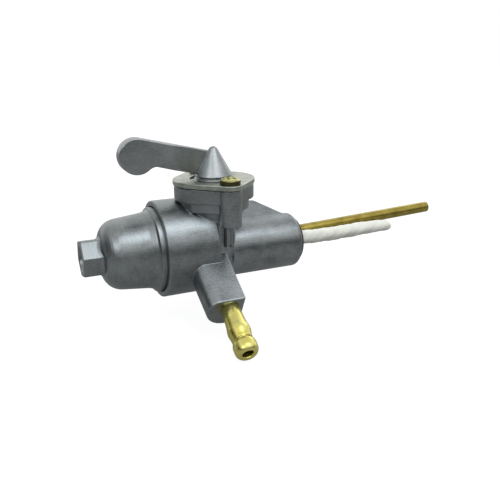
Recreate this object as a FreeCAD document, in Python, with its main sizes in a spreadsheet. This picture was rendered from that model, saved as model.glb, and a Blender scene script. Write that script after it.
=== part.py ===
import FreeCAD, Part
import math
import os
import Sketcher
from FreeCAD import Placement, Rotation, Vector

# Fuel tap for a small motorcycle: a die-cast body with a screwed sediment bowl at one end,
# a tank spigot at the other, a lever valve on top and a brass hose tail at the front.
# Working axes: +X along the bowl axis towards the tank, +Z along the lever's turning axis,
# -Y towards the side where the hose tail comes out. Sizes are in millimetres.

doc = FreeCAD.newDocument("fuel_tap")
sheet = doc.addObject("Spreadsheet::Sheet", "Dimensions")


class Dim:
    """A number together with the spreadsheet expression that gives it."""

    def __init__(self, value, text):
        self.value = float(value)
        self.text = text

    def __add__(self, other):
        other = as_dim(other)
        return Dim(self.value + other.value, "(%s + %s)" % (self.text, other.text))

    def __radd__(self, other):
        return as_dim(other) + self

    def __sub__(self, other):
        other = as_dim(other)
        return Dim(self.value - other.value, "(%s - %s)" % (self.text, other.text))

    def __rsub__(self, other):
        return as_dim(other) - self

    def __mul__(self, other):
        other = as_dim(other)
        return Dim(self.value * other.value, "(%s * %s)" % (self.text, other.text))

    def __rmul__(self, other):
        return as_dim(other) * self

    def __truediv__(self, other):
        other = as_dim(other)
        return Dim(self.value / other.value, "(%s / %s)" % (self.text, other.text))

    def __neg__(self):
        return Dim(-self.value, "(-1 * %s)" % self.text)


def as_dim(item):
    if isinstance(item, Dim):
        return item
    return Dim(item, "%.6g" % item)


row = 0


def dim(alias, value, note):
    """Puts one named size in the spreadsheet and hands it back."""
    global row
    row += 1
    sheet.set("A%d" % row, alias)
    sheet.set("B%d" % row, "%.6g" % value)
    sheet.set("C%d" % row, note)
    sheet.setAlias("B%d" % row, alias)
    return Dim(value, "Dimensions." + alias)


# Clearances
fit_gap = dim("fit_gap", 0.3, "free gap between curved faces of separate pieces")
press_gap = dim("press_gap", 0.05, "radial gap left at a pressed or screwed joint")
run_gap = dim("run_gap", 0.08, "gap between faces that turn on each other")
wall = dim("cast_wall", 1.8, "least wall of the casting")

# Bowl housing, the big cylinder of the casting
housing_r = dim("housing_radius", 17.1, "outer radius of the bowl housing")
housing_x0 = dim("housing_left", -22.6, "rim of the bowl housing along X")
housing_x1 = dim("housing_right", -4.1, "tank-side face of the bowl housing along X")
rim_edge = dim("rim_chamfer", 0.6, "chamfer on the housing rim")
rim_wall = dim("rim_wall", 1.9, "wall round the counterbore for the bowl flange")
seat_depth = dim("seat_depth", 3.0, "depth of that counterbore")
seat_land = dim("seat_land", 1.8, "flat land that the bowl ring lies on")
thread_len = dim("bowl_thread_length", 8.2, "length of the bowl thread in the housing")
strainer_land = dim("strainer_land", 2.8, "shoulder that the strainer lies on")

# Tank spigot
drop = dim("spigot_drop", 3.44, "spigot axis below the bowl axis")
spigot_r = dim("spigot_radius", 10.3, "turned outside of the spigot")
spigot_x0 = dim("spigot_left", 2.8, "start of the turned length along X")
spigot_x1 = dim("spigot_right", 31.7, "mouth face of the spigot along X")
spigot_round = dim("spigot_rounding", 1.8, "rounding of the mouth edge")
neck_r = dim("neck_radius", 8.6, "neck between housing and spigot")
mouth_r = dim("mouth_radius", 7.1, "bore of the union thread in the mouth")
mouth_depth = dim("mouth_depth", 9.5, "depth of the mouth bore")
gusset_back = dim("gusset_back", 8.0, "how far the gusset reaches back")
gusset_rise = dim("gusset_rise", 5.2, "rise of the gusset top over that reach")
gusset_corner = dim("gusset_corner", 19.0, "where the gusset starts to narrow along X")

# Valve chamber on top of the housing
valve_x = dim("valve_x", -1.5, "lever axis along X")
valve_y = dim("valve_y", -4.0, "lever axis along Y")
lobe_r = dim("lobe_radius", 10.8, "side lobes of the chamber plate")
lobe_x = dim("lobe_x", 3.5, "offset of those lobes along X")
lobe_y = dim("lobe_y", 0.55, "offset of those lobes along Y")
ear_r = dim("ear_radius", 4.5, "ears round the plate screws")
ear_x = dim("ear_x", 1.15, "screw offset from the lever axis along X")
ear_y = dim("ear_y", 12.2, "screw offset from the lever axis along Y")
edge_in = dim("flange_inset", 0.35, "how far the cast flange stays inside the plate")
cast_ear_r = dim("cast_ear_radius", 2.6, "ears of the cast flange, slimmer than the screw bosses")
flange_z0 = dim("flange_bottom", 17.55, "underside of the chamber flange")
flange_z1 = dim("flange_top", 22.8, "joint face of the chamber flange")
step_r = dim("step_radius", 12.2, "round step below the flange")
step_z0 = dim("step_bottom", 14.2, "underside of that step")
root_r = dim("root_radius", 10.5, "round root of the chamber")
root_z0 = dim("root_bottom", 8.0, "underside of the root beside the housing")
post_r = dim("post_radius", 7.6, "slimmer post from the root down to the neck")
boss_r = dim("boss_radius", 4.0, "screw bosses")
boss_z0 = dim("boss_bottom", 9.8, "lower end of the screw bosses")
pocket_r = dim("pocket_radius", 9.3, "valve pocket")
pocket_z0 = dim("pocket_floor", 17.6, "floor of the valve pocket")
port_r = dim("port_radius", 1.75, "ports of the valve seal")
port_circle = dim("port_circle", 5.2, "radius of the ring of ports")
rib_t = dim("rib_thickness", 2.2, "rib under the front screw boss")
rib_y = dim("rib_reach", 15.0, "how far that rib stands out from the bowl axis")
rib_z0 = dim("rib_bottom", 2.5, "lower end of that rib")

# Hose outlet
outlet_x = dim("outlet_x", -6.9, "outlet axis along X")
outlet_down = dim("outlet_angle", 27.6, "outlet axis below the horizontal, in degrees")
outlet_r = dim("outlet_boss_radius", 7.3, "round side of the outlet boss")
outlet_flat_x = dim("outlet_flat_side", 5.75, "flat side of the outlet boss")
outlet_flat_z = dim("outlet_flat_top", 4.5, "flat top of the outlet boss")
outlet_end = dim("outlet_boss_end", 32.0, "end of the outlet boss from the bowl axis")
barb_bore_r = dim("barb_bore_radius", 1.87, "bore of the hose tail")
barb_shank_r = dim("barb_shank_radius", 3.0, "pressed shank of the hose tail")
barb_shank_len = dim("barb_shank_length", 8.0, "length of that shank")
barb_neck_r = dim("barb_neck_radius", 3.4, "plain necks of the hose tail")
barb_crest_r = dim("barb_crest_radius", 3.9, "crests of the hose tail")
barb_len = dim("barb_length", 18.5, "hose tail outside the boss")

# Sediment bowl
bowl_flange_x0 = dim("bowl_flange_left", -24.4, "outer side of the bowl flange")
bowl_seal_t = dim("bowl_seal_thickness", 1.6, "squeezed bowl ring")
bowl_wall = dim("bowl_wall", 1.6, "wall of the bowl")
bowl_lip = dim("bowl_lip", 1.4, "how far the flange stands out from the shell")
bowl_taper = dim("bowl_taper", 1.2, "how much the shell narrows up to the shoulder")
shoulder_x = dim("bowl_shoulder", -36.0, "where the dome starts")
dome_x = dim("bowl_dome_end", -41.9, "where the hexagon starts")
dome_end_r = dim("bowl_dome_end_radius", 7.1, "dome radius at the hexagon")
dome_round = dim("bowl_dome_rounding", 6.6, "rounding of the dome")
hex_flats = dim("hex_flats", 12.0, "hexagon across its flats")
hex_end = dim("hex_end", -48.5, "end of the hexagon")
hex_recess_r = dim("hex_recess_radius", 4.3, "recess in the hexagon's end")
hex_recess = dim("hex_recess_depth", 1.8, "depth of that recess")
hex_turn = dim("hex_turn", 14.0, "turn of the tightened hexagon, in degrees")

# Valve pieces
seal_t = dim("valve_seal_thickness", 2.4, "rubber valve seal")
rotor_t = dim("rotor_thickness", 1.8, "valve disc on the lever")
hub_r = dim("hub_radius", 6.8, "lever hub in the plate's hole")
plate_t = dim("plate_thickness", 1.6, "retaining plate")
spring_t = dim("spring_thickness", 0.35, "spring washer sheet")
lug_r = dim("lug_radius", 8.0, "reach of the stop lug")
lug_half = dim("lug_half_angle", 12.0, "half the width of the stop lug, in degrees")
cone_r = dim("cone_radius", 6.3, "foot of the lever cone")
cone_z0 = dim("cone_bottom", 25.4, "foot of the lever cone along Z")
cone_z1 = dim("cone_top", 35.3, "tip of the lever cone along Z")
cone_tip_r = dim("cone_tip_radius", 1.3, "rounded tip")
neck_lever_r = dim("lever_neck_radius", 5.3, "groove under the cone")
arm_t = dim("arm_thickness", 5.0, "lever arm across")
arm_reach = dim("arm_reach", 26.9, "lever axis to the middle of the end disc")
arm_disc_r = dim("arm_disc_radius", 5.95, "end disc of the lever arm")
arm_disc_z = dim("arm_disc_height", 33.9, "middle of the end disc along Z")
arm_h = dim("arm_height", 8.09, "height of the arm's blade")
arm_slope = dim("arm_slope", 0.24, "fall of the arm towards the cone per millimetre")

# Screws
screw_r = dim("screw_radius", 1.9, "screw thread")
screw_len = dim("screw_length", 11.0, "screw length under the head")
head_r = dim("screw_head_radius", 3.5, "pan head")
head_h = dim("screw_head_height", 2.3, "height of the pan head")
cross_w = dim("cross_width", 1.0, "width of the cross recess")
cross_len = dim("cross_length", 4.2, "length of the cross recess")
cross_depth = dim("cross_depth", 1.3, "depth of the cross recess")

# Tank tubes
tube_r = dim("stand_tube_radius", 2.2, "stand tube outside")
tube_wall = dim("tube_wall", 0.4, "wall of both brass tubes")
tube_y = dim("stand_tube_y", 2.45, "stand tube beside the bowl axis")
tube_z = dim("stand_tube_z", -2.15, "foot of the stand tube along Z")
tube_rise = dim("stand_tube_rise", 2.5, "rise of the stand tube, in degrees")
tube_x0 = dim("tube_foot", 16.5, "where both tubes are pressed in along X")
tube_len = dim("stand_tube_length", 82.5, "stand tube, whole length")
pipe_r = dim("reserve_tube_radius", 1.75, "reserve tube outside")
pipe_y = dim("reserve_tube_y", -2.95, "reserve tube beside the bowl axis")
pipe_z = dim("reserve_tube_z", -2.5, "reserve tube along Z")
pipe_len = dim("reserve_tube_length", 38.0, "reserve tube, whole length")
sleeve_r = dim("sleeve_radius", 2.85, "filter sleeve outside")
sleeve_x0 = dim("sleeve_left", 25.0, "open end of the filter sleeve along X")
sleeve_x1 = dim("sleeve_right", 75.4, "closed end of the filter sleeve along X")
sleeve_t = dim("sleeve_thickness", 0.5, "filter cloth")
ring_r0 = dim("tank_ring_inner", 7.35, "inner radius of the tank ring")
ring_r1 = dim("tank_ring_outer", 8.35, "outer radius of the tank ring")
ring_out = dim("tank_ring_stand", 0.55, "how far the tank ring stands out")
ring_in = dim("tank_ring_groove", 0.6, "depth of its groove")
doc.recompute()

# Radii that follow from the housing and its lands
seat_r = housing_r - rim_wall
thread_r = seat_r - seat_land
cavity_r = thread_r - strainer_land
cavity_x1 = housing_x1 - wall

TO_MOUTH = Vector(-spigot_x1.value, 0, drop.value)
finished = []


def bind(obj, prop, item):
    """Gives a property its size through the spreadsheet."""
    item = as_dim(item)
    obj.setExpression(prop, item.text)


def draw(sk, path):
    """Draws a closed outline; each corner is (x, y) or (x, y, radius, side) for an arc that ends there."""
    corners = [(as_dim(c[0]), as_dim(c[1])) for c in path]
    count = len(corners)
    ends = []
    for i in range(count):
        a, b = corners[i - 1], corners[i]
        pa = Vector(a[0].value, a[1].value, 0)
        pb = Vector(b[0].value, b[1].value, 0)
        if len(path[i]) == 2:
            geo = sk.addGeometry(Part.LineSegment(pa, pb), False)
            ends.append((geo, 1, 2, None))
            continue
        radius, side = as_dim(path[i][2]), path[i][3]
        chord = pb - pa
        lift = math.sqrt(max(radius.value ** 2 - chord.Length ** 2 / 4, 0))
        normal = Vector(-chord.y, chord.x, 0)
        normal.normalize()
        mid = (pa + pb) * 0.5 + normal * lift * side
        start, stop = (pa, pb) if side > 0 else (pb, pa)
        a0 = math.atan2(start.y - mid.y, start.x - mid.x)
        a1 = math.atan2(stop.y - mid.y, stop.x - mid.x)
        if a1 < a0:
            a1 += 2 * math.pi
        arc = Part.ArcOfCircle(Part.Circle(mid, Vector(0, 0, 1), radius.value), a0, a1)
        geo = sk.addGeometry(arc, False)
        ends.append((geo, 1, 2, radius) if side > 0 else (geo, 2, 1, radius))
    for i in range(count):
        geo, first, last, radius = ends[i]
        after = ends[(i + 1) % count]
        sk.addConstraint(Sketcher.Constraint("Coincident", geo, last, after[0], after[1]))
        for axis, word, other in ((0, "DistanceX", -2), (1, "DistanceY", -1)):
            size = corners[i][axis]
            if abs(size.value) < 1e-9:
                sk.addConstraint(Sketcher.Constraint("PointOnObject", geo, last, other))
            else:
                name = "%s%d" % ("x" if axis == 0 else "y", i)
                k = sk.addConstraint(Sketcher.Constraint(word, -1, 1, geo, last, size.value))
                sk.renameConstraint(k, name)
                sk.setExpression("Constraints." + name, size.text)
        if radius is not None:
            k = sk.addConstraint(Sketcher.Constraint("Radius", geo, radius.value))
            sk.renameConstraint(k, "r%d" % i)
            sk.setExpression("Constraints.r%d" % i, radius.text)


def sketch_in(body, plane, path, offset=None):
    """A sketch on one of the body's own planes."""
    sk = body.newObject("Sketcher::SketchObject", "Profile")
    for item in body.Origin.OriginFeatures:
        if item.Role == plane:
            sk.AttachmentSupport = [(item, "")]
    sk.MapMode = "FlatFace"
    if offset is not None:
        sk.setExpression("AttachmentOffset.Base.z", as_dim(offset).text)
    draw(sk, path)
    doc.recompute()
    return sk


def new_body(label):
    body = doc.addObject("PartDesign::Body", label)
    body.Label = label
    return body


def turned(body, path, plane="XZ_Plane", axis="H_Axis", cut=False):
    """Adds or removes a turned shape from a half profile."""
    sk = sketch_in(body, plane, path)
    kind = "PartDesign::Groove" if cut else "PartDesign::Revolution"
    feat = body.newObject(kind, "Groove" if cut else "Revolution")
    feat.Profile = sk
    feat.ReferenceAxis = (sk, [axis])
    feat.Angle = 360.0
    doc.recompute()
    return feat


def free_sketch(label, path, place):
    """A sketch outside any body, for the shapes that make up the casting."""
    sk = doc.addObject("Sketcher::SketchObject", label)
    draw(sk, path)
    sk.Placement = place
    doc.recompute()
    return sk


def spun(label, path, place, base, axis):
    """A solid turned from a free sketch."""
    sk = free_sketch(label + "_profile", path, place)
    feat = doc.addObject("Part::Revolution", label)
    feat.Source = sk
    feat.Axis = axis
    feat.Base = base
    feat.Angle = 360.0
    feat.Solid = True
    return feat


def raised(label, path, place, direction, length):
    """A solid pulled out of a free sketch."""
    sk = free_sketch(label + "_outline", path, place)
    feat = doc.addObject("Part::Extrusion", label)
    feat.Base = sk
    feat.DirMode = "Custom"
    feat.Dir = direction
    feat.Solid = True
    bind(feat, "LengthFwd", length)
    return feat


def rod(label, radius, length, at, direction=Vector(0, 0, 1)):
    """A cylinder from a point along a direction; sizes and position come from the sheet."""
    feat = doc.addObject("Part::Cylinder", label)
    bind(feat, "Radius", radius)
    bind(feat, "Height", length)
    feat.Placement = Placement(Vector(0, 0, 0), Rotation(Vector(0, 0, 1), direction))
    for axis, item in zip("xyz", at):
        feat.setExpression("Placement.Base." + axis, as_dim(item).text)
    return feat


def fuse(label, items):
    feat = doc.addObject("Part::MultiFuse", label)
    feat.Shapes = items
    feat.Refine = True
    return feat


def cut(label, base, tools):
    feat = doc.addObject("Part::Cut", label)
    feat.Base = base
    feat.Tool = tools if not isinstance(tools, list) else fuse(label + "_tools", tools)
    feat.Refine = True
    return feat


def done(label, feature, at=(0, 0, 0), turn=None):
    """Names the finished piece and moves the working origin to the tank mouth."""
    feature.Label = label
    spot = Vector(*[as_dim(c).value for c in at]) + TO_MOUTH
    feature.Placement = Placement(spot, turn or Rotation())
    finished.append((label, feature))


def hull(circles):
    """Outline round circles given anticlockwise: corners with tangent lines between them."""
    path = []
    count = len(circles)
    for i in range(count):
        x0, y0, r0 = circles[i]
        x1, y1, r1 = circles[(i + 1) % count]
        gap = math.hypot(x1.value - x0.value, y1.value - y0.value)
        heading = math.atan2(y1.value - y0.value, x1.value - x0.value)
        lean = heading - math.pi / 2 + math.asin((r1.value - r0.value) / gap) * -1
        c, s = math.cos(lean), math.sin(lean)
        path.append((x0 + r0 * c, y0 + r0 * s, r0, 1))
        path.append((x1 + r1 * c, y1 + r1 * s))
    return path


def plate_outline(inset, small):
    """The two-eared shape shared by the retaining plate and the flange it closes."""
    big = lobe_r - inset
    return hull([
        (lobe_x, -lobe_y, big),
        (-ear_x, ear_y, small),
        (-lobe_x, lobe_y, big),
        (ear_x, -ear_y, small),
    ])


ALONG_X = Placement(Vector(0, 0, 0), Rotation(Vector(1, 0, 0), 90))
FLAT = Placement()
slope = math.radians(outlet_down.value)
OUT = Vector(0, -math.cos(slope), -math.sin(slope))
OUT_TURN = Rotation(Vector(1, 0, 0), 90 + outlet_down.value)

# Casting: housing, neck and spigot are turned shapes
housing = spun("housing", [
    (housing_x0, 0),
    (housing_x1, 0),
    (housing_x1, housing_r - 0.6),
    (housing_x1 - 0.6, housing_r),
    (housing_x0 + rim_edge, housing_r),
    (housing_x0, housing_r - rim_edge),
], ALONG_X, Vector(0, 0, 0), Vector(1, 0, 0))
spigot = spun("spigot", [
    (housing_x1 - 3.0, 0),
    (spigot_x1, 0),
    (spigot_x1, spigot_r - spigot_round),
    (spigot_x1 - spigot_round * 0.134, spigot_r - spigot_round * 0.5),
    (spigot_x1 - spigot_round * 0.5, spigot_r - spigot_round * 0.134),
    (spigot_x1 - spigot_round, spigot_r),
    (spigot_x0 + 0.3, spigot_r),
    (spigot_x0, spigot_r - 0.3),
    (spigot_x0, neck_r),
    (housing_x1 - 3.0, neck_r),
], Placement(Vector(0, 0, -drop.value), ALONG_X.Rotation), Vector(0, 0, -drop.value), Vector(1, 0, 0))

# Casting: chamber with its two ears
at_valve = Placement(Vector(valve_x.value, valve_y.value, flange_z0.value), Rotation())
flange = raised("flange", plate_outline(edge_in, cast_ear_r), at_valve, Vector(0, 0, 1), flange_z1 - flange_z0)
step = rod("chamber_step", step_r, flange_z0 - step_z0 + 0.2, (valve_x, valve_y, step_z0))
root = rod("chamber_root", root_r, step_z0 - root_z0 + 0.2, (valve_x, valve_y, root_z0))
post = rod("chamber_post", post_r, root_z0 + drop + 0.2, (valve_x, valve_y, -drop))
boss_front = rod("boss_front", boss_r, flange_z1 - boss_z0, (valve_x + ear_x, valve_y - ear_y, boss_z0))
boss_back = rod("boss_back", boss_r, flange_z1 - boss_z0, (valve_x - ear_x, valve_y + ear_y, boss_z0))

# Casting: a sloping gusset runs along the top of the neck and the spigot, under the chamber
gusset_top = spigot_r - drop
gusset_side = raised("gusset_side", [
    (0, gusset_top),
    (0, -drop),
    (gusset_back, -drop),
    (gusset_back, gusset_top + gusset_rise),
], Placement(Vector(housing_x1.value - 2.0, 0, 0), Rotation(Vector(1, 1, 1), 120)),
    Vector(1, 0, 0), spigot_x1 - spigot_round - housing_x1 + 1.6)
gusset_plan = raised("gusset_plan", [
    (housing_x1 - 4.0, -0.5),
    (spigot_x1 - spigot_round - 0.4, -0.5),
    (spigot_x1 - spigot_round - 0.4, 0),
    (gusset_corner, gusset_back + 0.01),
    (housing_x1 - 4.0, gusset_back + 0.01),
], Placement(Vector(0, 0, -drop.value), Rotation()), Vector(0, 0, 1), drop + gusset_top + gusset_rise + 1.0)
gusset = doc.addObject("Part::Common", "gusset")
gusset.Base = gusset_side
gusset.Tool = gusset_plan
rib = doc.addObject("Part::Box", "rib")
bind(rib, "Length", rib_t)
bind(rib, "Width", rib_y - neck_r + 1.0)
bind(rib, "Height", boss_z0 - rib_z0 + 0.2)
for axis, item in zip("xyz", (valve_x + ear_x - rib_t * 0.4, -rib_y, rib_z0)):
    rib.setExpression("Placement.Base." + axis, item.text)

# Casting: outlet boss, round below and flat on its top and tank side
flat_cut_x = math.sqrt(outlet_r.value ** 2 - outlet_flat_x.value ** 2)
outlet_boss = raised("outlet_boss", [
    (-(outlet_r - outlet_flat_z), outlet_flat_z),
    (-outlet_r, 0, outlet_flat_z, 1),
    (0, -outlet_r, outlet_r, 1),
    (outlet_flat_x, -(outlet_r * (flat_cut_x / outlet_r.value)), outlet_r, 1),
    (outlet_flat_x, outlet_flat_z),
], Placement(Vector(outlet_x.value, 0, 0) + OUT * 4.0, OUT_TURN), OUT, outlet_end - 4.0)
solid = fuse("casting_outside", [
    housing, spigot, flange, step, root, post, boss_front, boss_back, gusset, rib, outlet_boss])

# Casting: everything that is bored or cored out of it. The narrow inner drillings stay solid.
bowl_bore = spun("bowl_bore", [
    (housing_x0 - 1.0, 0),
    (cavity_x1, 0),
    (cavity_x1, cavity_r - 1.0),
    (cavity_x1 - 1.0, cavity_r),
    (housing_x0 + seat_depth + thread_len, cavity_r),
    (housing_x0 + seat_depth + thread_len, thread_r),
    (housing_x0 + seat_depth, thread_r),
    (housing_x0 + seat_depth, seat_r),
    (housing_x0 - 1.0, seat_r),
], ALONG_X, Vector(0, 0, 0), Vector(1, 0, 0))
mouth = rod("mouth_bore", mouth_r, mouth_depth + 1.0, (spigot_x1 - mouth_depth, 0, -drop), Vector(1, 0, 0))
ring_cut = rod("ring_recess", ring_r1 + press_gap, ring_in + 1.0, (spigot_x1 - ring_in, 0, -drop), Vector(1, 0, 0))
pocket = rod("valve_pocket", pocket_r, flange_z1 - pocket_z0 + 1.0, (valve_x, valve_y, pocket_z0))
stand_dir = Vector(math.cos(math.radians(tube_rise.value)), 0, math.sin(math.radians(tube_rise.value)))
stand_hole = rod("stand_hole", tube_r + press_gap, 12.0, (tube_x0, tube_y, tube_z), stand_dir)
pipe_hole = rod("reserve_hole", pipe_r + press_gap, 12.0, (tube_x0, pipe_y, pipe_z), Vector(1, 0, 0))
socket_t = outlet_end - barb_shank_len
barb_socket = rod("barb_socket", barb_shank_r + press_gap, barb_shank_len + 1.0,
                  (outlet_x, -(socket_t * math.cos(slope)), -(socket_t * math.sin(slope))), OUT)
tap_front = rod("screw_hole_front", screw_r + press_gap * 2, screw_len + 1.0,
                (valve_x + ear_x, valve_y - ear_y, flange_z1 - screw_len + 0.6))
tap_back = rod("screw_hole_back", screw_r + press_gap * 2, screw_len + 1.0,
               (valve_x - ear_x, valve_y + ear_y, flange_z1 - screw_len + 0.6))
casting = cut("casting", solid, [
    bowl_bore, mouth, ring_cut, pocket, stand_hole, pipe_hole, barb_socket, tap_front, tap_back])
doc.recompute()
done("body", casting)

# Sediment bowl: flange, threaded neck, tapering shell, dome and hexagon
bowl = new_body("bowl")
flange_x1 = housing_x0 + seat_depth - bowl_seal_t
neck_x1 = housing_x0 + seat_depth + thread_len - 1.6
bowl_flange_r = seat_r - fit_gap
neck_out = thread_r - fit_gap
shell_r0 = bowl_flange_r - bowl_lip
shell_r1 = shell_r0 - bowl_taper
turned(bowl, [
    (dome_x - 0.2, 0),
    (neck_x1, 0),
    (neck_x1, neck_out),
    (flange_x1, neck_out),
    (flange_x1, bowl_flange_r),
    (bowl_flange_x0 + 0.5, bowl_flange_r),
    (bowl_flange_x0, bowl_flange_r - bowl_lip * 0.3),
    (bowl_flange_x0 - 0.9, shell_r0 + bowl_lip * 0.25),
    (bowl_flange_x0 - 2.4, shell_r0 - bowl_taper * 0.15),
    (shoulder_x, shell_r1),
    (dome_x, dome_end_r, dome_round, 1),
    (dome_x - 0.2, dome_end_r - 0.2),
])
hexagon = sketch_in(bowl, "YZ_Plane", [
    (hex_flats * (math.cos(math.radians(60 * k + 180 - hex_turn.value)) / math.sqrt(3)),
     hex_flats * (math.sin(math.radians(60 * k + 180 - hex_turn.value)) / math.sqrt(3))) for k in range(6)
], offset=hex_end)
pad = bowl.newObject("PartDesign::Pad", "HexagonPad")
pad.Profile = hexagon
bind(pad, "Length", dome_x - hex_end + 1.5)
doc.recompute()
bowl_floor = dome_x + bowl_wall + 0.8
bowl_in = shell_r1 - bowl_wall
turned(bowl, [
    (neck_x1 + 1.0, 0),
    (neck_x1 + 1.0, neck_out - bowl_wall),
    (bowl_flange_x0, neck_out - bowl_wall),
    (shoulder_x + 0.5, bowl_in),
    (bowl_floor + 1.6, bowl_in - 0.6),
    (bowl_floor + 0.2, bowl_in - 2.2),
    (bowl_floor, bowl_in - 3.5),
    (bowl_floor, 0),
], cut=True)
turned(bowl, [
    (hex_end - 1.0, 0),
    (hex_end - 1.0, hex_recess_r),
    (hex_end + hex_recess, hex_recess_r - 0.5),
    (hex_end + hex_recess, 0),
], cut=True)
doc.recompute()
done("bowl", bowl)

# Ring between the bowl flange and its seat, squeezed flat on both sides
bowl_ring = new_body("bowl_ring")
ring_in_r = neck_out + fit_gap / 2
turned(bowl_ring, [
    (flange_x1, ring_in_r + 0.3),
    (flange_x1 + 0.3, ring_in_r),
    (flange_x1 + bowl_seal_t - 0.3, ring_in_r),
    (flange_x1 + bowl_seal_t, ring_in_r + 0.3),
    (flange_x1 + bowl_seal_t, bowl_flange_r - 0.3),
    (flange_x1 + bowl_seal_t - 0.3, bowl_flange_r),
    (flange_x1 + 0.3, bowl_flange_r),
    (flange_x1, bowl_flange_r - 0.3),
])
done("bowl_ring", bowl_ring)

# Strainer behind the bowl: a brass hoop with a gauze disc crimped in it
hoop_x1 = housing_x0 + seat_depth + thread_len
hoop = new_body("strainer_hoop")
turned(hoop, [
    (hoop_x1 - 1.3, cavity_r - 1.6),
    (hoop_x1, cavity_r - 1.6),
    (hoop_x1, thread_r - fit_gap),
    (hoop_x1 - 1.3, thread_r - fit_gap),
])
turned(hoop, [
    (hoop_x1 - 0.85, cavity_r * 0.5),
    (hoop_x1 - 0.45, cavity_r * 0.5),
    (hoop_x1 - 0.45, cavity_r - 0.6),
    (hoop_x1 - 0.85, cavity_r - 0.6),
], cut=True)
done("strainer_hoop", hoop)
gauze = new_body("strainer_gauze")
turned(gauze, [
    (hoop_x1 - 0.8, 0),
    (hoop_x1 - 0.8, cavity_r - 0.7),
    (hoop_x1 - 0.5, cavity_r - 0.7),
    (hoop_x1 - 0.5, 0),
])
done("strainer_gauze", gauze)

# Rubber valve seal with a ring of ports: stand tube at the back, bowl on the left,
# reserve tube in front, and a blind one on the tank side
seal = new_body("valve_seal")
turned(seal, [
    (0, 0),
    (pocket_r - fit_gap, 0),
    (pocket_r - fit_gap, seal_t),
    (0, seal_t),
], axis="V_Axis")
hole_sketch = seal.newObject("Sketcher::SketchObject", "PortCircle")
for item in seal.Origin.OriginFeatures:
    if item.Role == "XY_Plane":
        hole_sketch.AttachmentSupport = [(item, "")]
hole_sketch.MapMode = "FlatFace"
hole_sketch.addGeometry(Part.Circle(Vector(port_circle.value, 0, 0), Vector(0, 0, 1), port_r.value), False)
hole_sketch.addConstraint(Sketcher.Constraint("PointOnObject", 0, 3, -1))
far = hole_sketch.addConstraint(Sketcher.Constraint("DistanceX", -1, 1, 0, 3, port_circle.value))
hole_sketch.setExpression("Constraints[%d]" % far, port_circle.text)
wide = hole_sketch.addConstraint(Sketcher.Constraint("Radius", 0, port_r.value))
hole_sketch.setExpression("Constraints[%d]" % wide, port_r.text)
ports = seal.newObject("PartDesign::Pocket", "Ports")
ports.Profile = hole_sketch
ports.Type = "ThroughAll"
ports.Midplane = True
doc.recompute()
ring_of_ports = seal.newObject("PartDesign::PolarPattern", "RingOfPorts")
ring_of_ports.Originals = [ports]
ring_of_ports.Axis = (hole_sketch, ["N_Axis"])
ring_of_ports.Angle = 360.0
ring_of_ports.Occurrences = 4
seal.Tip = ring_of_ports
doc.recompute()
done("valve_seal", seal, (valve_x, valve_y, pocket_z0))

# Lever in one casting: valve disc, hub with stop lug, cone, arm and end disc. The slot under
# the disc joins stand tube and bowl at rest, reserve tube and bowl a quarter turn on.
rotor_z0 = pocket_z0 + seal_t + run_gap
hub_z1 = flange_z1 + plate_t + 0.2
turning = spun("lever_turning", [
    (0, rotor_z0),
    (pocket_r - fit_gap, rotor_z0),
    (pocket_r - fit_gap, rotor_z0 + rotor_t),
    (hub_r, rotor_z0 + rotor_t),
    (hub_r, hub_z1),
    (neck_lever_r, hub_z1),
    (neck_lever_r, cone_z0),
    (cone_r - 0.3, cone_z0),
    (cone_r, cone_z0 + 0.3),
    (cone_tip_r, cone_z1 - 1.0),
    (cone_tip_r * 0.6, cone_z1 - 0.25),
    (0, cone_z1),
], ALONG_X, Vector(0, 0, 0), Vector(0, 0, 1))
lug_a = math.radians(lug_half.value)
lug = raised("lever_lug", [
    (-(hub_r - 1.0), -((hub_r - 1.0) * math.tan(lug_a))),
    (-(lug_r * math.cos(lug_a)), -(lug_r * math.sin(lug_a))),
    (-(lug_r * math.cos(lug_a)), lug_r * math.sin(lug_a)),
    (-(hub_r - 1.0), (hub_r - 1.0) * math.tan(lug_a)),
], Placement(Vector(0, 0, flange_z1.value + 0.1), Rotation()), Vector(0, 0, 1), plate_t - 0.2)
top_z = arm_disc_z + arm_disc_r
arm_x0 = arm_reach - 1.5
low_z = top_z - arm_h - arm_slope * 8.0
blade = raised("lever_blade", [
    (-arm_x0, top_z - 0.2),
    (-arm_x0, low_z + arm_slope * 3.0),
    (-6.5, low_z - arm_slope * (arm_x0 - 8.0 - 6.5)),
    (-3.0, low_z - arm_slope * (arm_x0 - 8.0 - 4.5)),
    (-0.5, cone_z0 + 4.0),
    (-0.5, top_z - 0.2 - arm_slope * (arm_x0 - 0.5)),
], Placement(Vector(0, arm_t.value / 2, 0), ALONG_X.Rotation), Vector(0, -1, 0), arm_t)
end_disc = rod("lever_end", arm_disc_r, arm_t, (-arm_reach, arm_t / 2, arm_disc_z), Vector(0, -1, 0))
lever_solid = fuse("lever_solid", [turning, lug, blade, end_disc])
slot_cut = doc.addObject("Part::Box", "port_slot")
bind(slot_cut, "Length", port_r * 2)
bind(slot_cut, "Width", port_circle + port_r)
bind(slot_cut, "Height", 1.1)
for axis, item in zip("xyz", (-port_r, as_dim(0.0), rotor_z0 - 0.1)):
    slot_cut.setExpression("Placement.Base." + axis, item.text)
slot_side = doc.addObject("Part::Box", "port_slot_side")
bind(slot_side, "Length", port_circle + port_r)
bind(slot_side, "Width", port_r * 2)
bind(slot_side, "Height", 1.1)
for axis, item in zip("xyz", (-(port_circle + port_r), -port_r, rotor_z0 - 0.1)):
    slot_side.setExpression("Placement.Base." + axis, item.text)
lever = cut("lever_cut", lever_solid, [slot_cut, slot_side])
doc.recompute()
done("lever", lever, (valve_x, valve_y, 0))

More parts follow.
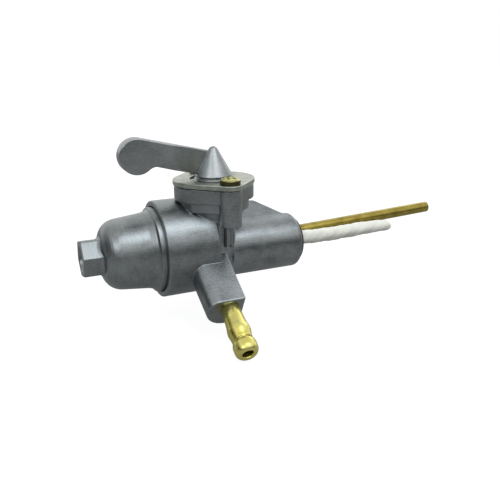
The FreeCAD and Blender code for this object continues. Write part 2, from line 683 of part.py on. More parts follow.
# Spring washer between the valve disc and the plate
spring = new_body("spring_washer")
spring_z0 = rotor_z0 + rotor_t + run_gap
spring_rise = flange_z1 - spring_z0 - spring_t
turned(spring, [
    (hub_r + fit_gap, spring_z0 + spring_rise),
    (pocket_r - fit_gap * 1.5, spring_z0),
    (pocket_r - fit_gap * 1.5, spring_z0 + spring_t),
    (hub_r + fit_gap, spring_z0 + spring_rise + spring_t),
], axis="V_Axis")
done("spring_washer", spring, (valve_x, valve_y, 0))

# Retaining plate: two ears, a hole for the hub and a slot that limits the stop lug
plate_body = raised("plate_blank", plate_outline(as_dim(0), ear_r), Placement(), Vector(0, 0, 1), plate_t)
hub_hole = rod("hub_hole", hub_r + fit_gap, plate_t * 3, (0, 0, -plate_t))
travel = math.radians(lug_half.value + 3.0)
sweep = lug_r + fit_gap
stop_slot = raised("stop_slot", [
    (sweep * math.sin(travel), sweep * math.cos(travel)),
    (-sweep, 0, sweep, 1),
    (sweep * math.sin(travel), -(sweep * math.cos(travel)), sweep, 1),
    (hub_r * 0.9 * math.sin(travel), -(hub_r * 0.9 * math.cos(travel))),
    (hub_r * 0.9 * math.sin(travel), hub_r * 0.9 * math.cos(travel)),
], Placement(Vector(0, 0, -plate_t.value), Rotation()), Vector(0, 0, 1), plate_t * 3)
plate_hole_a = rod("plate_hole_a", screw_r + press_gap * 4, plate_t * 3, (ear_x, -ear_y, -plate_t))
plate_hole_b = rod("plate_hole_b", screw_r + press_gap * 4, plate_t * 3, (-ear_x, ear_y, -plate_t))
plate = cut("plate_cut", plate_body, [hub_hole, stop_slot, plate_hole_a, plate_hole_b])
doc.recompute()
done("retaining_plate", plate, (valve_x, valve_y, flange_z1))


def pan_screw(label, sign):
    """Cross-head pan screw standing on the plate."""
    body = new_body(label)
    turned(body, [
        (0, -screw_len + plate_t),
        (screw_r - 0.5, -screw_len + plate_t),
        (screw_r, -screw_len + plate_t + 0.5),
        (screw_r, 0),
        (head_r - 0.2, 0),
        (head_r, 0.3),
        (head_r, head_h * 0.55),
        (head_r * 0.88, head_h * 0.85),
        (head_r * 0.62, head_h),
        (0, head_h),
    ], axis="V_Axis")
    for k, (long_side, short_side) in enumerate(((cross_len, cross_w), (cross_w, cross_len))):
        sk = sketch_in(body, "XY_Plane", [
            (long_side / 2, short_side / 2),
            (-(long_side / 2), short_side / 2),
            (-(long_side / 2), -(short_side / 2)),
            (long_side / 2, -(short_side / 2)),
        ], offset=head_h - cross_depth)
        bar = body.newObject("PartDesign::Pocket", "Cross%d" % k)
        bar.Profile = sk
        bar.Reversed = True
        bind(bar, "Length", cross_depth + 1.0)
        doc.recompute()
    body.Placement = Placement(Vector(ear_x.value * sign, -ear_y.value * sign, 0),
                               Rotation(Vector(0, 0, 1), 22.0 * sign + 20.0))
    return body


screws = doc.addObject("Part::Compound", "plate_screws")
screws.Links = [pan_screw("screw_front", 1), pan_screw("screw_back", -1)]
doc.recompute()
done("plate_screws", screws, (valve_x, valve_y, flange_z1 + plate_t))

# Hose tail: shank pressed in the boss, two crests and a bore right through
barb = new_body("outlet_barb")
turned(barb, [
    (barb_bore_r, -barb_shank_len),
    (barb_shank_r - 0.3, -barb_shank_len),
    (barb_shank_r, -barb_shank_len + 0.3),
    (barb_shank_r, 0),
    (barb_neck_r, 0),
    (barb_neck_r, barb_len * 0.23),
    (barb_crest_r - 0.1, barb_len * 0.34),
    (barb_crest_r, barb_len * 0.39),
    (barb_crest_r, barb_len * 0.45),
    (barb_crest_r - 0.1, barb_len * 0.50),
    (barb_neck_r, barb_len * 0.60),
    (barb_neck_r, barb_len * 0.72),
    (barb_crest_r, barb_len * 0.84),
    (barb_crest_r, barb_len - 0.6),
    (barb_crest_r - 0.5, barb_len),
    (barb_bore_r + 0.3, barb_len),
    (barb_bore_r, barb_len - 0.3),
], axis="V_Axis")
done("outlet_barb", barb, (outlet_x, -(outlet_end * math.cos(slope)), -(outlet_end * math.sin(slope))),
     Rotation(Vector(0, 0, 1), OUT))


def tube(label, radius, length, at, rise):
    """A plain brass tube pressed in the floor of the mouth."""
    body = new_body(label)
    turned(body, [
        (0, radius - tube_wall),
        (length, radius - tube_wall),
        (length, radius - 0.12),
        (length - 0.12, radius),
        (0, radius),
    ])
    done(label, body, at, Rotation(Vector(0, 1, 0), -rise))


tube("stand_tube", tube_r, tube_len, (tube_x0, tube_y, tube_z), tube_rise.value)
tube("reserve_tube", pipe_r, pipe_len, (tube_x0, pipe_y, pipe_z), 0.0)

# Filter sleeve drawn over the reserve tube and welded shut at its far end
sleeve = new_body("filter_sleeve")
sleeve_len = sleeve_x1 - sleeve_x0
turned(sleeve, [
    (0, sleeve_r - sleeve_t),
    (sleeve_len - sleeve_t - 1.0, sleeve_r - sleeve_t),
    (sleeve_len - sleeve_t, sleeve_r - sleeve_t - 1.0),
    (sleeve_len - sleeve_t, 0),
    (sleeve_len, 0),
    (sleeve_len, sleeve_r - 1.0),
    (sleeve_len - 1.0, sleeve_r),
    (0, sleeve_r),
])
done("filter_sleeve", sleeve, (sleeve_x0, pipe_y, pipe_z))

# Rubber ring let into the mouth face, pressed by the tank flange
tank_ring = new_body("tank_ring")
turned(tank_ring, [
    (-ring_in, ring_r0),
    (ring_out - 0.3, ring_r0),
    (ring_out, ring_r0 + 0.3),
    (ring_out, ring_r1 - 0.3),
    (ring_out - 0.3, ring_r1),
    (-ring_in, ring_r1),
])
done("tank_ring", tank_ring, (spigot_x1, 0, -drop))

doc.recompute()
for obj in doc.Objects:
    if "Invalid" in obj.State or "Error" in obj.State:
        raise RuntimeError("%s did not recompute: %s" % (obj.Label, obj.State))
os.makedirs("parts", exist_ok=True)
for label, feature in finished:
    shape = feature.Shape
    if shape.isNull() or not shape.isValid():
        raise RuntimeError(label + " has no valid shape")
    if len(shape.Solids) != (2 if label == "plate_screws" else 1):
        raise RuntimeError("%s is made of %d solids" % (label, len(shape.Solids)))
    box = shape.BoundBox
    print("%-20s %9.1f mm3  x %.1f..%.1f  y %.1f..%.1f  z %.1f..%.1f" % (
        label, shape.Volume, box.XMin, box.XMax, box.YMin, box.YMax, box.ZMin, box.ZMax))
    shape.exportStep("parts/%s.step" % label)
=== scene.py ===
import math

import bmesh
import bpy
import numpy as np
import openvdb
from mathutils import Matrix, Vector


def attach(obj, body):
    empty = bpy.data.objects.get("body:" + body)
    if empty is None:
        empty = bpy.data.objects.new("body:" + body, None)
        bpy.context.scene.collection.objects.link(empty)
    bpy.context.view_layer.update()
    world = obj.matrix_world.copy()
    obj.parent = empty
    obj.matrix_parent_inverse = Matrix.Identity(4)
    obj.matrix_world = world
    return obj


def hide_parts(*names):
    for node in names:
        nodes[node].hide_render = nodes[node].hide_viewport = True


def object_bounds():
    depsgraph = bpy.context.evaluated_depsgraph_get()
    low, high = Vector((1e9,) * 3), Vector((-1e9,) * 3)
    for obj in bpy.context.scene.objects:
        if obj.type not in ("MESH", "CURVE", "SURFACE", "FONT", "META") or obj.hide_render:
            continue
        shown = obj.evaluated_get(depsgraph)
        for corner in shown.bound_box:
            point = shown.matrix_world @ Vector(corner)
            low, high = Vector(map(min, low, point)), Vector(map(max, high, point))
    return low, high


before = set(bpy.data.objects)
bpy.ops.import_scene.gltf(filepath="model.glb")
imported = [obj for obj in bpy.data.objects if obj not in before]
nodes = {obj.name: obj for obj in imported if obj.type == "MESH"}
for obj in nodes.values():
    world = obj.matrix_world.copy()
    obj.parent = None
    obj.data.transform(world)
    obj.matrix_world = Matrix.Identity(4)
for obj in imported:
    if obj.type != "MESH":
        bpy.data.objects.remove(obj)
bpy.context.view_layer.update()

# Places in millimetres, about the bowl axis; the frame's origin is the centre of the tank mouth
DROP = 3.44
MOUTH_X = 31.7
MOUTH = np.array([MOUTH_X, 0.0, -DROP])
VALVE = (-1.5, -4.0)
SCREWS = ((1.15, -12.2), (-1.15, 12.2))
PLATE_LOW, PLATE_TOP = 22.8, 24.4
TUBE_Y, TUBE_Z = 2.45, -2.15
SLEEVE_Y, SLEEVE_Z = -2.95, -2.5

# Direction of the hose outlet, and how far the hose tail stands off its axis
SLOPE = math.radians(27.6)
OUT = (0.0, -math.cos(SLOPE), -math.sin(SLOPE))
OUTLET_X = -6.9
OUTLET_END = 32.0
TAIL_SHIFT, TAIL_LEAN = 0.8, 0.045


def to_frame(points):
    return (np.asarray(points, float) - MOUTH) * 0.001


# Distance fields: negative inside, in millimetres
def both(a, b, r):
    """Where two shapes overlap, with the edge rounded to radius r."""
    return np.minimum(np.maximum(a, b), -r) + np.hypot(np.maximum(a + r, 0), np.maximum(b + r, 0))


def either(a, b, r):
    """Two shapes together, with a fillet of radius r in the corner."""
    return np.maximum(np.minimum(a, b), r) - np.hypot(np.maximum(r - a, 0), np.maximum(r - b, 0))


def without(a, b, r):
    return both(a, -b, r)


def between(u, low, high):
    return np.maximum(low - u, u - high)


def about_valve(x, y):
    return x - VALVE[0], y - VALVE[1]


def capsule(x, y, x0, y0, r0, x1, y1, r1):
    """Two circles and their common tangents, in the plane."""
    length = math.hypot(x1 - x0, y1 - y0)
    ux, uy = (x1 - x0) / length, (y1 - y0) / length
    along = (x - x0) * ux + (y - y0) * uy
    side = np.abs((x - x0) * uy - (y - y0) * ux)
    b = (r0 - r1) / length
    a = math.sqrt(1 - b * b)
    k = side * -b + along * a
    far_end = np.hypot(side, along - length) - r1
    flank = side * a + along * b - r0
    return np.where(k < 0, np.hypot(side, along) - r0, np.where(k > a * length, far_end, flank))


def ears(x, y, inset, ear):
    """The two-eared outline of the retaining plate about the lever axis; ear is the ears' radius."""
    lobe = 10.8
    spots = [(3.5, -0.55, lobe), (*SCREWS[1], ear + inset), (-3.5, 0.55, lobe), (*SCREWS[0], ear + inset)]
    d = None
    for k in range(4):
        p, q = spots[k], spots[(k + 1) % 4]
        c = capsule(x, y, p[0], p[1], p[2] - inset, q[0], q[1], q[2] - inset)
        d = c if d is None else np.minimum(d, c)
    return d


def turned_profile(u, r, points):
    """Distance to a closed outline in the half plane (u, r)."""
    d = None
    inside = None
    for k in range(len(points)):
        ax, ay = points[k - 1]
        bx, by = points[k]
        ex, ey = bx - ax, by - ay
        wx, wy = u - ax, r - ay
        t = np.clip((wx * ex + wy * ey) / (ex * ex + ey * ey), 0, 1)
        near = (wx - ex * t) ** 2 + (wy - ey * t) ** 2
        d = near if d is None else np.minimum(d, near)
        rise = by - ay if by != ay else 1e-9
        cross = ((ay > r) != (by > r)) & (u < ex * (r - ay) / rise + ax)
        inside = cross if inside is None else inside ^ cross
    return np.where(inside, -np.sqrt(d), np.sqrt(d))


def thread(x, angle, major, pitch, depth):
    """Radius of a screw thread's surface along and round an axis."""
    phase = (x / pitch + angle / (2 * math.pi)) % 1.0
    return major - depth * np.abs(2 * phase - 1)


def arc_centre(a, b, radius):
    """Centre of the arc from a to b that bulges away from the axis."""
    mx, my = (a[0] + b[0]) / 2, (a[1] + b[1]) / 2
    dx, dy = b[0] - a[0], b[1] - a[1]
    half = math.hypot(dx, dy) / 2
    lift = math.sqrt(max(radius * radius - half * half, 0))
    nx, ny = -dy / (2 * half), dx / (2 * half)
    one = (mx + nx * lift, my + ny * lift)
    two = (mx - nx * lift, my - ny * lift)
    return one if one[1] < two[1] else two


# Meshes
def add_object(name, mesh):
    obj = bpy.data.objects.new(name, mesh)
    bpy.context.scene.collection.objects.link(obj)
    return obj


def smooth_mesh(name, points, faces):
    mesh = bpy.data.meshes.new(name)
    mesh.from_pydata(to_frame(points).tolist(), [], faces)
    mesh.polygons.foreach_set("use_smooth", [True] * len(mesh.polygons))
    return mesh


def surface(name, field, low, high, step):
    """Turns a distance field into a closed mesh with normals taken from the field."""
    margin = 2.5 * step
    low = np.array(low, float) - margin
    count = np.ceil((np.array(high, float) + margin - low) / step).astype(int) + 1
    axes = [low[k] + step * np.arange(count[k]) for k in range(3)]
    values = field(axes[0][:, None, None], axes[1][None, :, None], axes[2][None, None, :])
    band = 3.0
    values = np.clip(values / step, -band, band).astype(np.float32)
    grid = openvdb.FloatGrid(band)
    grid.copyFromArray(np.ascontiguousarray(values))
    points, triangles, quads = grid.convertToPolygons(isovalue=0.0, adaptivity=0.0)
    p = low + np.asarray(points, float) * step

    def slope(q, h):
        g = np.empty_like(q)
        for k in range(3):
            a, b = q.copy(), q.copy()
            a[:, k] += h
            b[:, k] -= h
            g[:, k] = (field(a[:, 0], a[:, 1], a[:, 2]) - field(b[:, 0], b[:, 1], b[:, 2])) / (2 * h)
        return g

    # points are drawn onto the exact surface
    for _ in range(3):
        g = slope(p, 0.08 * step)
        d = field(p[:, 0], p[:, 1], p[:, 2])
        move = d / np.maximum((g * g).sum(1), 0.3)
        p -= g * np.clip(move, -0.5 * step, 0.5 * step)[:, None]
    normals = slope(p, 0.35 * step)
    normals /= np.maximum(np.linalg.norm(normals, axis=1), 1e-9)[:, None]
    faces = [tuple(int(i) for i in f[::-1]) for f in np.asarray(quads)]
    faces += [tuple(int(i) for i in f[::-1]) for f in np.asarray(triangles)]
    mesh = smooth_mesh(name, p, faces)
    mesh.validate()
    first = mesh.polygons[0]
    if Vector(normals[first.vertices[0]]).dot(first.normal) < 0:
        mesh.flip_normals()
    mesh.normals_split_custom_set_from_vertices(normals.tolist())
    return add_object(name, mesh)


def lathe(name, outline, at, direction, count):
    """Turns a closed outline of (along, radius) round an axis."""
    axis = Vector(direction).normalized()
    side = axis.orthogonal().normalized()
    up = axis.cross(side)
    points, faces = [], []
    n = len(outline)
    for k in range(count):
        a = 2 * math.pi * k / count
        spoke = side * math.cos(a) + up * math.sin(a)
        points += [tuple(Vector(at) + axis * t + spoke * r) for t, r in outline]
        m = (k + 1) % count
        for i in range(n):
            j = (i + 1) % n
            faces.append((k * n + i, k * n + j, m * n + j, m * n + i))
    mesh = smooth_mesh(name, points, faces)
    bm = bmesh.new()
    bm.from_mesh(mesh)
    bmesh.ops.recalc_face_normals(bm, faces=bm.faces)
    bm.to_mesh(mesh)
    bm.free()
    return add_object(name, mesh)


def rounded(points, radius, steps):
    """A closed outline with its corners rounded."""
    out = []
    count = len(points)
    for k in range(count):
        p = Vector(points[k])
        a = Vector(points[k - 1]) - p
        b = Vector(points[(k + 1) % count]) - p
        room = min(a.length, b.length) * 0.49
        a.normalize()
        b.normalize()
        half = a.angle(b) / 2
        back = min(radius / math.tan(half), room)
        r = back * math.tan(half)
        centre = p + (a + b).normalized() * (r / math.sin(half))
        start, end = p + a * back, p + b * back
        a0 = math.atan2(start.y - centre.y, start.x - centre.x)
        a1 = math.atan2(end.y - centre.y, end.x - centre.x)
        turn = (a1 - a0 + math.pi) % (2 * math.pi) - math.pi
        for i in range(steps + 1):
            t = a0 + turn * i / steps
            out.append((centre.x + r * math.cos(t), centre.y + r * math.sin(t)))
    return out


# Casting
HOUSING_R, HOUSING_FACE, HOUSING_BACK = 17.1, -22.6, -4.1
SPIGOT_R, SPIGOT_START = 10.3, 2.8
NECK_R = 8.6
POST_R, POST_X = 7.6, -2.1
ROOT_R, STEP_R, BOSS_R = 9.2, 12.2, 4.0
BOSS_LOW, RIB_TOP = 9.8, 10.2
OUTLET_R, OUTLET_FLAT, OUTLET_SIDE = 7.3, 4.5, 5.75
SEAT_R, SEAT_FLOOR = 15.2, -19.6
POCKET_R, POCKET_FLOOR = 9.3, 17.6


def turned_parts(x, y, z):
    """Bowl housing, neck, post under the chamber and tank spigot."""
    bowl_r = np.hypot(y, z)
    spigot_r = np.hypot(y, z + DROP)
    housing = both(both(bowl_r - HOUSING_R, HOUSING_FACE - x, 0.5), x - HOUSING_BACK, 0.45)
    neck = both(spigot_r - NECK_R, between(x, -6.0, 8.0), 0.3)
    spigot = both(both(spigot_r - SPIGOT_R, x - MOUTH_X, 1.8), SPIGOT_START - x, 0.35)
    post = both(np.hypot(x - POST_X, y - VALVE[1]) - POST_R, between(z, -DROP, 8.4), 0.3)
    return either(either(housing, either(neck, post, 0.8), 0.6), spigot, 0.3)


def gusset(x, y, z):
    """Sloping web along the top of the neck and the spigot, cut off slantwise at its end."""
    # slopes of the top and of the end, each with the length of its normal
    rise, rise_length = 0.65, 1.193
    cut_x, cut_y, cut_length = 8.0, 10.5, 13.2
    end = 29.5
    top = (z - (SPIGOT_R - DROP) - rise * y) / rise_length
    slant = ((x - end) * cut_x + y * cut_y) / cut_length
    d = both(both(top, slant, 0.9), y - 8.0, 0.8)
    d = both(d, np.maximum(-6.1 - x, -1.5 - y), 0.3)
    return np.maximum(d, -DROP - z)


def chamber(d, x, y, z):
    """Adds the valve chamber's root, step, flange and two screw bosses."""
    px, py = about_valve(x, y)
    r = np.hypot(px, py)
    plan = ears(px, py, 0.35, 2.6)
    flare, flare_length, draft = 0.35, 1.059, 0.02
    cone = (r - ROOT_R - flare * (z - BOSS_LOW)) / flare_length
    root = both(cone, between(z, 8.0, 15.0), 0.4)
    step = both(np.maximum(r - STEP_R, plan + 0.8), between(z, 14.2, 18.5), 0.35)
    flange = both(plan, between(z, 17.55, PLATE_LOW - 0.3), 0.3)
    d = either(either(d, root, 0.06), either(step, flange, 0.15), 0.06)
    for sx, sy in SCREWS:
        side = np.hypot(px - sx, py - sy) - BOSS_R + draft * (PLATE_LOW - z)
        d = either(d, both(side, between(z, BOSS_LOW, PLATE_LOW - 0.2), 0.5), 0.2)
    return d


def side_walls(d, x, y, z):
    """Adds the two walls of the channel between housing and spigot; the left one stands further out."""
    for start, end, front in ((-4.6, -1.0, -13.6), (-1.4, SPIGOT_START + 0.4, -9.8)):
        plan = both(between(x, start, end), between(y, front, -3.0), 0.3)
        d = either(d, both(plan, between(z, -8.5, RIB_TOP), 0.3), 0.2)
    return d


def rib(x, y, z):
    """Rib under the front boss, with a ridge along each edge of its face."""
    d = both(both(between(x, -1.85, 0.3), between(y, -15.0, -7.0), 0.25), between(z, 2.5, RIB_TOP), 0.5)
    for edge in (-1.7, 0.15):
        ridge = both(both(np.abs(x - edge) - 0.2, between(y, -15.4, -8.0), 0.1), between(z, 1.9, 10.0), 0.2)
        d = either(d, ridge, 0.1)
    return d


def outlet_place(x, y, z):
    """Along the hose outlet, across it, and up from its axis."""
    along = y * OUT[1] + z * OUT[2]
    up = y * OUT[2] - z * OUT[1]
    return along, x - OUTLET_X, up


def outlet(x, y, z):
    """Boss for the hose tail: round below, flat above and on its right side."""
    along, u, v = outlet_place(x, y, z)
    lower = np.hypot(u, v) - OUTLET_R
    flat = v - OUTLET_FLAT - 0.1 * np.clip(OUTLET_END - along, 0, 30)
    upper = both(-u - OUTLET_R, flat, 4.5)
    d = np.where(v < 0, lower, np.maximum(upper, -v - 9.0))
    d = both(both(d, u - OUTLET_SIDE, 0.5), flat, 0.5)
    return both(d, between(along, 4.0, OUTLET_END), 0.6)


def openings(d, x, y, z):
    """Cuts the tank thread, the mouth, the bowl's seat, the valve pocket and the hose tail's socket."""
    spigot_r = np.hypot(y, z + DROP)
    px, py = about_valve(x, y)
    along, u, v = outlet_place(x, y, z)
    tank_thread = thread(x, np.arctan2(z + DROP, y), 7.45, 1.0, 0.62)
    d = without(d, both(spigot_r - tank_thread, 22.2 - x, 0.2), 0.25)
    d = without(d, both(spigot_r - 8.4, MOUTH_X - 0.6 - x, 0.1), 0.12)
    d = without(d, both(np.hypot(y, z) - SEAT_R, x - SEAT_FLOOR, 0.2), 0.15)
    d = without(d, both(np.hypot(px, py) - POCKET_R, POCKET_FLOOR - z, 0.2), 0.25)
    leaning = u - TAIL_SHIFT + TAIL_LEAN * (along - OUTLET_END)
    return without(d, both(np.hypot(leaning, v) - 3.05, OUTLET_END - 8.0 - along, 0.2), 0.15)


def casting(x, y, z):
    d = either(turned_parts(x, y, z), gusset(x, y, z), 0.5)
    d = side_walls(chamber(d, x, y, z), x, y, z)
    d = either(d, rib(x, y, z), 0.25)
    d = either(d, outlet(x, y, z), 0.12)
    return openings(d, x, y, z)


body = surface("casting", casting, (HOUSING_FACE, -30.4, -21.4), (MOUTH_X, 17.2, PLATE_LOW), 0.36)
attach(body, "tap")
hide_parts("body")


# Sediment bowl with its hexagon
BOWL_END, BOWL_RIM, BOWL_R = -48.5, -20.9, 14.9
HEX_HALF, HEX_ROUND, HEX_TURN = 6.0, 6.95, math.radians(14.0)


def bowl_outline():
    """Half outline of the shell: end, an arc from the hexagon to the shoulder, taper and flare."""
    start, shoulder = (-41.9, 7.1), (-36.0, 12.3)
    radius = 6.6
    cx, cy = arc_centre(shoulder, start, radius)
    a0 = math.atan2(start[1] - cy, start[0] - cx) % (2 * math.pi)
    a1 = math.atan2(shoulder[1] - cy, shoulder[0] - cx)
    points = [(-42.9, 0.0), (-42.9, 6.0)]
    steps = 8
    for k in range(steps + 1):
        a = a0 + (a1 - a0) * k / steps
        points.append((cx + radius * math.cos(a), cy + radius * math.sin(a)))
    return points + [(-26.8, 13.3), (-25.3, 13.75), (-21.0, 13.75), (-21.0, 0.0)]


def bowl_shape(x, y, z):
    r = np.hypot(y, z)
    flange = both(r - BOWL_R, between(x, -24.4, BOWL_RIM), 0.35)
    d = either(turned_profile(x, r, bowl_outline()), flange, 1.1)
    hexagon = None
    for k in range(6):
        a = math.pi / 3 * k + math.pi / 6 - HEX_TURN
        side = y * math.cos(a) + z * math.sin(a) - HEX_HALF
        hexagon = side if hexagon is None else both(hexagon, side, 0.35)
    turned = both(r - HEX_ROUND, BOWL_END - x, 0.6)
    hexagon = both(both(hexagon, turned, 0.25), x + 40.0, 0.1)
    recess = both(r - 4.3 + 0.28 * (x - BOWL_END), x - BOWL_END - 1.8, 0.35)
    return without(either(d, hexagon, 0.5), recess, 0.3)


bowl = surface("bowl_shell", bowl_shape, (BOWL_END, -BOWL_R, -BOWL_R), (BOWL_RIM, BOWL_R, BOWL_R), 0.26)
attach(bowl, "tap")
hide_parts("bowl")


# Lever: valve disc, hub with its lug, cone and arm
DISC_R, HUB_R, LEVER_NECK_R = 9.0, 6.8, 6.1
CONE_R, CONE_LOW, CONE_TOP = 6.5, 25.6, 35.3
CONE_OUT, CONE_UP = 0.8736, 0.4866
END_X, END_Z, END_R = -26.9, 33.9, 5.95
ARM_HALF, DRAW_IN = 2.5, 2.1


def lever_arm(x, y, z):
    """An end disc, and a flat blade that leaves it at a tangent and falls to the cone's foot."""
    # slopes of the blade's edges, each with the length of its normal
    fall, fall_length = 0.24, 1.0284
    climb, climb_length = 0.275, 1.037
    # the front face draws back towards the cone
    t = np.clip((x + 15.0) / 9.0, 0, 1)
    across = np.maximum(y - ARM_HALF, -y - ARM_HALF + DRAW_IN * t * t * (3 - 2 * t))
    top = (z - 39.65 + fall * (x + 25.4)) / fall_length
    under = (30.8 - climb * (x + 22.9) - z) / climb_length
    reach = between(x, -25.5, -0.4)
    disc = np.hypot(x - END_X, z - END_Z) - END_R
    below = either(disc, np.maximum(np.maximum(top, under), reach), 1.6)
    above = np.minimum(disc, np.maximum(top, reach))
    return both(np.where(z < END_Z + 0.1, below, above), across, 0.45)


def lever_shape(x, y, z):
    x, y = about_valve(x, y)
    r = np.hypot(x, y)
    disc = both(r - DISC_R, between(z, 20.08, 21.88), 0.2)
    hub = both(r - HUB_R, between(z, 21.0, 24.6), 0.25)
    neck = both(r - LEVER_NECK_R, between(z, 24.0, 26.0), 0.2)
    slant = (r - CONE_R) * CONE_OUT + (z - CONE_LOW) * CONE_UP
    cone = both(both(slant, CONE_LOW - 0.2 - z, 0.25), z - CONE_TOP, 0.8)
    lug = both(both(between(x, -8.0, -5.0), between(y, -1.65, 1.65), 0.3), between(z, 22.9, 24.3), 0.15)
    d = either(either(disc, either(hub, lug, 0.2), 0.15), either(neck, cone, 0.2), 0.2)
    return either(d, lever_arm(x, y, z), 0.15)


lever = surface("lever_casting", lever_shape, (-34.4, -13.2, 20.0), (7.7, 5.2, 39.9), 0.22)
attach(lever, "handle")
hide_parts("lever")


# Retaining plate: centre hole, slot for the lug and two screw holes
EAR_R, PLATE_HOLE_R, SLOT_R, SCREW_HOLE_R = 4.5, 7.1, 8.3, 2.1


def plate_shape(x, y, z):
    x, y = about_valve(x, y)
    r = np.hypot(x, y)
    d = both(ears(x, y, 0.0, EAR_R), z - PLATE_TOP, 0.3)
    d = both(d, PLATE_LOW - z, 0.08)
    d = without(d, r - PLATE_HOLE_R, 0.12)
    slot = both(both(r - SLOT_R, x - 2.15, 0.3), 5.0 - r, 0.1)
    d = without(d, slot, 0.12)
    for sx, sy in SCREWS:
        d = without(d, np.hypot(x - sx, y - sy) - SCREW_HOLE_R, 0.1)
    return d


plate = surface("plate_pressing", plate_shape, (-16.3, -20.8, PLATE_LOW), (13.1, 12.8, PLATE_TOP), 0.2)
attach(plate, "tap")
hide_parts("retaining_plate")

# Cross-head pan screws
HEAD_TOP, HEAD_R, DOME_R = 26.7, 3.5, 7.5
SHANK_LOW = 15.0
SCREW_TURNS = (42.0, -2.0)


def one_screw(px, py, z, turn):
    """A screw about its own axis, with its cross recess turned by some degrees."""
    c, s = math.cos(math.radians(turn)), math.sin(math.radians(turn))
    qx, qy = np.abs(px * c + py * s), np.abs(py * c - px * s)
    r = np.hypot(px, py)
    dome = np.hypot(r, z - PLATE_TOP + 5.2) - DOME_R
    head = both(both(r - HEAD_R, PLATE_TOP - z, 0.12), dome, 0.35)
    half_width = 0.72 + 0.2 * (z - HEAD_TOP)
    reach = 2.35 + 0.75 * (z - HEAD_TOP)
    one = np.maximum(qx - half_width, qy - reach)
    two = np.maximum(qy - half_width, qx - reach)
    head = without(head, np.maximum(np.minimum(one, two), PLATE_TOP + 0.4 - z), 0.1)
    turns = thread(z, np.arctan2(py, px), 1.9, 0.7, 0.3)
    shank = both(r - turns, between(z, SHANK_LOW, PLATE_TOP + 0.2), 0.15)
    return either(head, shank, 0.1)


def screw_shape(x, y, z):
    px, py = about_valve(x, y)
    parts = [one_screw(px - sx, py - sy, z, turn) for (sx, sy), turn in zip(SCREWS, SCREW_TURNS)]
    return np.minimum(*parts)


screws = surface("pan_screws", screw_shape, (-6.4, -19.8, SHANK_LOW), (3.1, 11.8, HEAD_TOP), 0.13)
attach(screws, "tap")
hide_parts("plate_screws")

# Hose tail: its half outline, as distance out of the boss and radius
TAIL_END, BORE = 18.5, 1.87
shank = [(-8.0, BORE), (-8.0, 2.7), (-7.7, 3.0), (-0.02, 3.0)]
neck = [(-0.02, 3.2), (0.1, 3.3), (4.4, 3.32), (5.2, 3.38), (6.8, 3.5)]
bulge = [(8.0, 3.72), (8.8, 3.86), (9.4, 3.9), (10.0, 3.86), (10.8, 3.72), (11.6, 3.56), (12.4, 3.46)]
groove = [(13.1, 3.44), (13.22, 3.4), (13.3, 3.22), (13.55, 3.22), (13.63, 3.45)]
crest = [(13.75, 3.55), (14.1, 3.74), (14.6, 3.89), (15.1, 3.95), (16.5, 3.95), (17.0, 3.91), (17.5, 3.79)]
nose = [(17.9, 3.6), (18.25, 3.36), (TAIL_END, 3.08), (TAIL_END, 2.25)]
mouth = [(TAIL_END - 0.08, 2.05), (TAIL_END - 0.3, 1.9), (TAIL_END - 0.6, BORE)]
tail = shank + neck + bulge + groove + crest + nose + mouth
foot = (OUTLET_X + TAIL_SHIFT, OUTLET_END * OUT[1], OUTLET_END * OUT[2])
barb = lathe("hose_tail", tail, foot, (-TAIL_LEAN, OUT[1], OUT[2]), 128)
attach(barb, "tap")
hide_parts("outlet_barb")

# Tubes into the tank
TUBE_START = 16.5


def brass_tube(name, radius, length, y, z, rise):
    """A tube with rounded ends and rings of points along it; rise is in degrees."""
    inner = radius - 0.4
    outline = rounded([(0, inner), (length, inner), (length, radius), (0, radius)], 0.14, 4)
    rings = 24
    points = []
    for k, p in enumerate(outline):
        points.append(p)
        q = outline[(k + 1) % len(outline)]
        if abs(q[0] - p[0]) > length / 2:
            points += [(p[0] + (q[0] - p[0]) * i / rings, p[1]) for i in range(1, rings)]
    a = math.radians(rise)
    obj = lathe(name, points, (TUBE_START, y, z), (math.cos(a), 0, math.sin(a)), 72)
    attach(obj, "tap")
    return obj


stand = brass_tube("stand_pipe", 2.2, 82.5, TUBE_Y, TUBE_Z, 2.5)
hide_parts("stand_tube")
reserve = brass_tube("reserve_pipe", 1.75, 38.0, SLEEVE_Y, SLEEVE_Z, 0.0)
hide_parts("reserve_tube")

# Rubber rings
ring = lathe("mouth_ring", rounded([(-0.6, 7.35), (1.0, 7.35), (1.0, 8.5), (-0.6, 8.35)], 0.4, 6),
             tuple(MOUTH), (1, 0, 0), 128)
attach(ring, "tap")
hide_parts("tank_ring")
seat = lathe("bowl_seal", rounded([(-21.2, 13.25), (-19.6, 13.25), (-19.6, 14.9), (-21.2, 14.9)], 0.4, 5),
             (0, 0, 0), (1, 0, 0), 160)
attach(seat, "tap")
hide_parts("bowl_ring")

# Filter sleeve: cloth tube drawn over the reserve tube, creased, flat and welded at its end
SLEEVE_START, SLEEVE_END = 25.0, 75.4
SLEEVE_R, CLOTH, CREASE = 2.62, 0.32, 0.15
FLAT_START, FLAT_RUN = 34.0, 15.0
TIP_START, TIP_RUN = 48.6, 1.8
ROWS, COLS = 150, 96


def crease(a, s):
    """The cloth's waves at angle a, s mm along the sleeve."""
    seed = 1.3
    return (math.sin(3 * a + 2.1 * seed + 0.31 * s) * math.sin(0.43 * s + seed)
            + 0.6 * math.sin(5 * a - 1.7 * seed + 0.9 * s) * math.sin(0.83 * s + 2 * seed)
            + 0.4 * math.sin(2 * a + 1.9 * s + seed) * math.sin(1.3 * s - seed))


